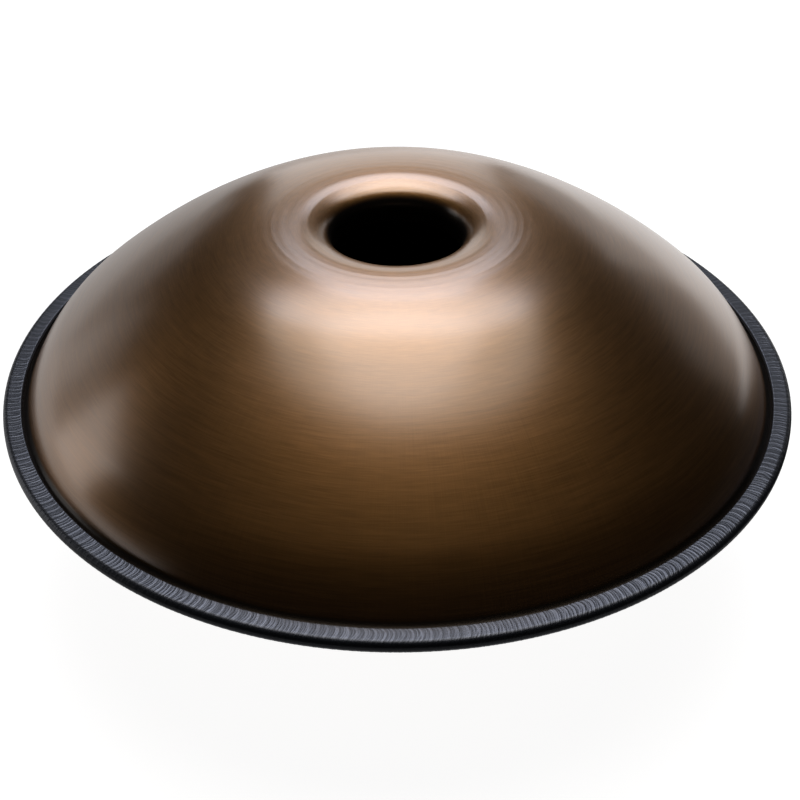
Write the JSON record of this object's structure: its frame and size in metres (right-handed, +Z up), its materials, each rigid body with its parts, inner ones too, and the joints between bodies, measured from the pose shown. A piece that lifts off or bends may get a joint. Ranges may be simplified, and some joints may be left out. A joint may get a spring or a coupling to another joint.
{
  "type": "handpan",
  "caption": "Lens-shaped steel hand drum of two glued shells in bronze lacquer, port side up, with a rolled port, soft edge trim and tone fields round a domed centre note below.",
  "frame": {"origin": "the point it rests on: the tip of the centre note's dome, on the drum's axis", "axes": "+Z up along the axis and out of the port; the player sits at -Y, with the two lowest tone fields nearest"},
  "size_m": [0.5599, 0.56, 0.2665],
  "materials": {
    "bronze_shell": "circumferentially brushed, bronze-brown lacquer",
    "glue": "matte",
    "trim": "satin, finely ribbed",
    "strip": "bare rolled steel"
  },
  "bodies": {
    "root": {"port_shell": "bronze_shell", "note_shell": "bronze_shell", "rim_glue": "glue", "edge_trim": "trim", "trim_strip": "strip"}
  },
  "joints": []
}
